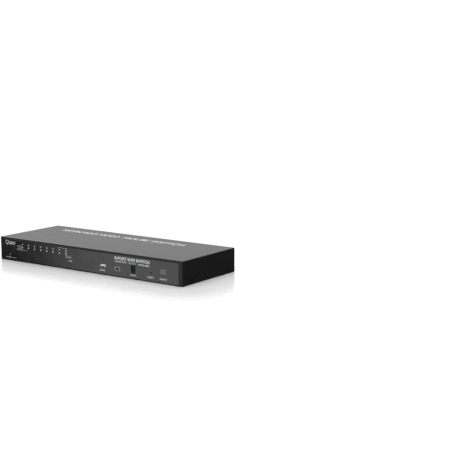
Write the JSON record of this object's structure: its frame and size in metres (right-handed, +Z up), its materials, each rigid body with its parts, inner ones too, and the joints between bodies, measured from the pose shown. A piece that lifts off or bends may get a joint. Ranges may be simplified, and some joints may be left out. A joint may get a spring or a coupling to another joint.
{
  "type": "kvm switch",
  "caption": "Flat black rack switch for keyboard, video and mouse, with front lights, USB sockets, port button, rear D-shaped ports and mains inlet.",
  "frame": {"origin": "bottom centre of the whole object", "axes": "+Z up, -Y out of the front panel, +X to the right seen from the front, along the width"},
  "size_m": [0.4372, 0.161, 0.044],
  "materials": {
    "case_black": "black powder coat, fine texture",
    "cover_black": "black satin powder coat, fine texture",
    "screw_black": "black zinc",
    "bezel_plastic": "moulded black plastic, semi-gloss",
    "front_film": "smooth printed film, satin gloss",
    "zinc": "bright zinc plating",
    "online_lens": "milky light pipe",
    "selected_lens": "milky light pipe",
    "power_lens": "lit green light pipe",
    "link_lens": "unlit light pipe",
    "led_resin": "cast resin",
    "smoked_window": "polished smoked acrylic",
    "black_plastic": "moulded nylon, fine texture",
    "digit_resin": "diffusing resin",
    "button_grey": "moulded plastic, fine spark texture",
    "tact_metal": "stamped steel",
    "dull_nickel": "dull nickel plate",
    "connector_metal": "nickel plated steel",
    "white_plastic": "moulded white plastic",
    "gold_contact": "gold flashed contacts",
    "circuit_board": "green solder mask with traces",
    "brass_spacer": "turned brass",
    "chip_black": "moulded epoxy",
    "heat_sink_alloy": "extruded alloy",
    "capacitor_sleeve": "shrink sleeve",
    "ribbon_grey": "flat ribbed cable",
    "port_yellow": "moulded nylon",
    "console_blue": "moulded nylon",
    "rocker_black": "moulded plastic",
    "phenolic_board": "phenolic laminate",
    "power_components": "taped windings and moulded parts",
    "insulating_film": "fish paper",
    "wire_brown": "PVC insulation",
    "wire_red": "PVC insulation"
  },
  "bodies": {
    "case": {"base_tray": "case_black", "top_cover": "cover_black", "cover_screws": "screw_black", "front_bezel": "bezel_plastic", "front_film": "front_film", "bezel_screws": "zinc", "online_light_pipes": "online_lens", "selected_light_pipes": "selected_lens", "power_light_pipe": "power_lens", "link_light_pipe": "link_lens", "indicator_leds": "led_resin", "display_window": "smoked_window", "display_module": "black_plastic", "display_segments": "digit_resin", "tact_switches": "tact_metal", "usb_shell": "connector_metal", "usb_tongue": "white_plastic", "usb_contacts": "gold_contact", "mini_usb_shell": "dull_nickel", "mini_usb_tongue": "black_plastic", "front_board": "circuit_board", "front_spacers": "brass_spacer", "front_board_screws": "zinc", "main_board": "circuit_board", "main_standoffs": "zinc", "main_board_screws": "zinc", "processor": "chip_black", "heat_sink": "heat_sink_alloy", "port_chips": "chip_black", "support_chips": "chip_black", "board_capacitors": "capacitor_sleeve", "buzzer": "black_plastic", "battery_holder": "black_plastic", "clock_battery": "connector_metal", "cable_headers": "black_plastic", "ribbon_cable": "ribbon_grey", "port_shells": "connector_metal", "port_inserts": "port_yellow", "console_insert": "console_blue", "chain_shell": "connector_metal", "chain_insert": "black_plastic", "chain_pins": "gold_contact", "jackscrews": "zinc", "network_jacks": "connector_metal", "network_contacts": "gold_contact", "earth_screw": "brass_spacer", "inlet_housing": "black_plastic", "inlet_pins": "zinc", "rocker_housing": "black_plastic", "rocker_terminals": "brass_spacer", "power_board": "phenolic_board", "power_parts": "power_components", "power_heat_sinks": "heat_sink_alloy", "insulating_sheet": "insulating_film", "mains_wires": "wire_brown", "supply_wires": "wire_red"},
    "port_button": {"port_button": "button_grey", "port_button_plunger": "black_plastic"},
    "reset_plunger": {"reset_plunger": "black_plastic"},
    "power_rocker": {"power_rocker": "rocker_black"}
  },
  "joints": [
    {"name": "port_button_press", "type": "slide", "parent": "case", "child": "port_button", "axis": [0, 1, 0], "range_m": [0, 0.0005], "stiffness_N_per_m": 1500, "springref_m": -0.0002},
    {"name": "reset_press", "type": "slide", "parent": "case", "child": "reset_plunger", "axis": [0, 1, 0], "range_m": [0, 0.0003], "stiffness_N_per_m": 1500, "springref_m": -0.0002},
    {"name": "power_rocker_tilt", "type": "hinge", "parent": "case", "child": "power_rocker", "pos_m": [0.17, 0.07266, 0.022], "axis": [1, 0, 0], "range_deg": [0, 24]}
  ]
}
